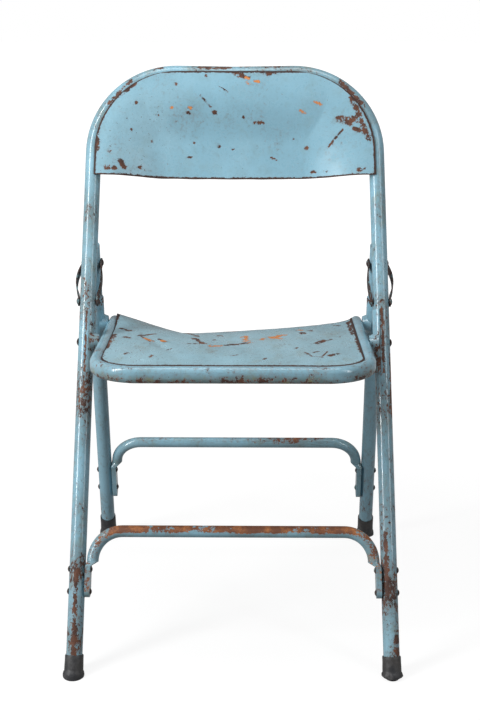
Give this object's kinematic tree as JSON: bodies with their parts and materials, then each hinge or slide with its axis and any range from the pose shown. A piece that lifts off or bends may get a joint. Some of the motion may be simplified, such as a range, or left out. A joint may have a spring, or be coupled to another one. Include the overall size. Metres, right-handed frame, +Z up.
{
  "type": "folding chair",
  "caption": "Folding chair of bent steel tube with a pressed sheet seat and back, strap links, rubber feet and worn, rusted paint.",
  "frame": {"origin": "on the floor, midway across the chair and midway along its depth", "axes": "+Z up, +Y towards the back of the chair, +X towards the right as seen from the front"},
  "size_m": [0.4574, 0.487, 0.792],
  "materials": {
    "tube_paint": "worn light blue paint on steel tube, chipped to brown rust",
    "sheet_paint": "light blue paint on pressed sheet, scratched and rusted at its edges",
    "rusted_paint": "blue paint mostly lost to orange-brown rust on the upper side",
    "bracket_paint": "greyed blue paint with rusty edges",
    "worn_steel": "dull rusted steel with remains of paint",
    "rubber": "scuffed dark grey rubber",
    "plug": "black rubber plug"
  },
  "bodies": {
    "frame": {"front_frame": "tube_paint", "back_panel": "sheet_paint", "front_crossbar": "rusted_paint", "front_crossbar_rivets": "worn_steel", "front_bracket_left": "bracket_paint", "front_bracket_right": "bracket_paint", "link_pivot_rivets": "worn_steel", "front_cap_left": "rubber", "front_cap_right": "rubber", "foot_plug": "plug"},
    "seat": {"seat_rim": "sheet_paint", "seat_pan": "sheet_paint", "seat_pivot_rivets": "worn_steel"},
    "links": {"link_inner_left": "worn_steel", "link_inner_right": "worn_steel", "link_outer_left": "worn_steel", "link_outer_right": "worn_steel", "leg_top_rivets": "worn_steel"},
    "rear_legs": {"rear_leg_left": "tube_paint", "rear_leg_right": "tube_paint", "rear_crossbar": "tube_paint", "rear_crossbar_rivets": "worn_steel", "rear_bracket_left": "bracket_paint", "rear_bracket_right": "bracket_paint", "seat_rear_rivets": "worn_steel", "rear_cap_left": "rubber", "rear_cap_right": "rubber"}
  },
  "joints": [
    {"name": "seat_fold", "type": "hinge", "parent": "frame", "child": "seat", "pos_m": [0, -0.06648, 0.41912], "axis": [-1, 0, 0], "range_deg": [0, 95]},
    {"name": "link_swing", "type": "hinge", "parent": "frame", "child": "links", "pos_m": [0, -0.04595, 0.4726], "axis": [-1, 0, 0], "range_deg": [0, 122.97]},
    {"name": "rear_leg_swing", "type": "hinge", "parent": "links", "child": "rear_legs", "pos_m": [0, 0.01602, 0.51342], "axis": [1, 0, 0], "range_deg": [0, 80.25]}
  ],
  "couplings": [
    {"joint": "link_swing", "follows": "seat_fold", "ratio": 1.2945},
    {"joint": "rear_leg_swing", "follows": "seat_fold", "ratio": 0.84473}
  ]
}
